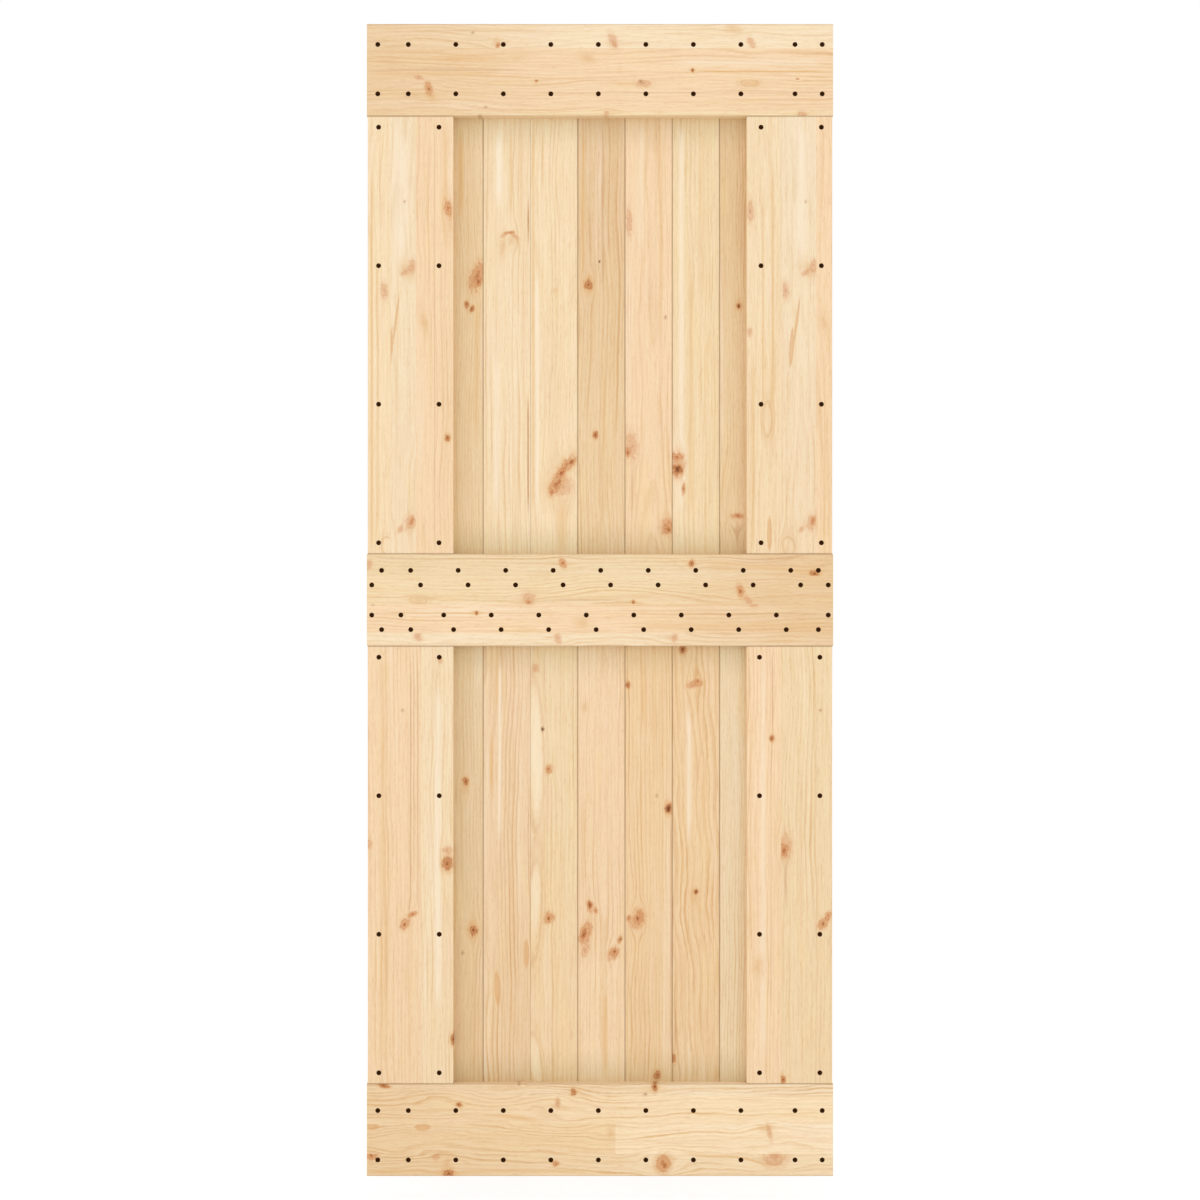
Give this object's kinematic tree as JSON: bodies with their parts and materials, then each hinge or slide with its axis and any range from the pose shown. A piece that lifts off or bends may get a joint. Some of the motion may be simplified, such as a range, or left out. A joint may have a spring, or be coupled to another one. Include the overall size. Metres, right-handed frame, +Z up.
{
  "type": "sliding door leaf",
  "caption": "Sliding barn door leaf in knotty pine: tongue-and-groove boards behind a flat frame of screwed-on rails and stiles, to hang from a track by straps.",
  "frame": {"origin": "centre of the top rail's front face, where a hanger strap bolts on", "axes": "+X to the right seen from the front, +Z up, the front faces -Y"},
  "size_m": [0.85, 0.036, 2.1],
  "materials": {
    "pine_frame": "bare planed knotty pine",
    "pine_panel": "bare planed knotty pine",
    "screw_black": "black coated steel screws"
  },
  "bodies": {
    "root": {"upper_left_edge_board": "pine_panel", "upper_board_1": "pine_panel", "upper_board_2": "pine_panel", "upper_board_3": "pine_panel", "upper_board_4": "pine_panel", "upper_board_5": "pine_panel", "upper_board_6": "pine_panel", "upper_board_7": "pine_panel", "upper_board_8": "pine_panel", "upper_board_9": "pine_panel", "upper_right_edge_board": "pine_panel", "lower_left_edge_board": "pine_panel", "lower_board_1": "pine_panel", "lower_board_2": "pine_panel", "lower_board_3": "pine_panel", "lower_board_4": "pine_panel", "lower_board_5": "pine_panel", "lower_board_6": "pine_panel", "lower_board_7": "pine_panel", "lower_board_8": "pine_panel", "lower_board_9": "pine_panel", "lower_right_edge_board": "pine_panel", "top_rail": "pine_frame", "middle_rail": "pine_frame", "bottom_rail": "pine_frame", "upper_left_stile": "pine_frame", "upper_right_stile": "pine_frame", "lower_left_stile": "pine_frame", "lower_right_stile": "pine_frame"}
  },
  "joints": []
}
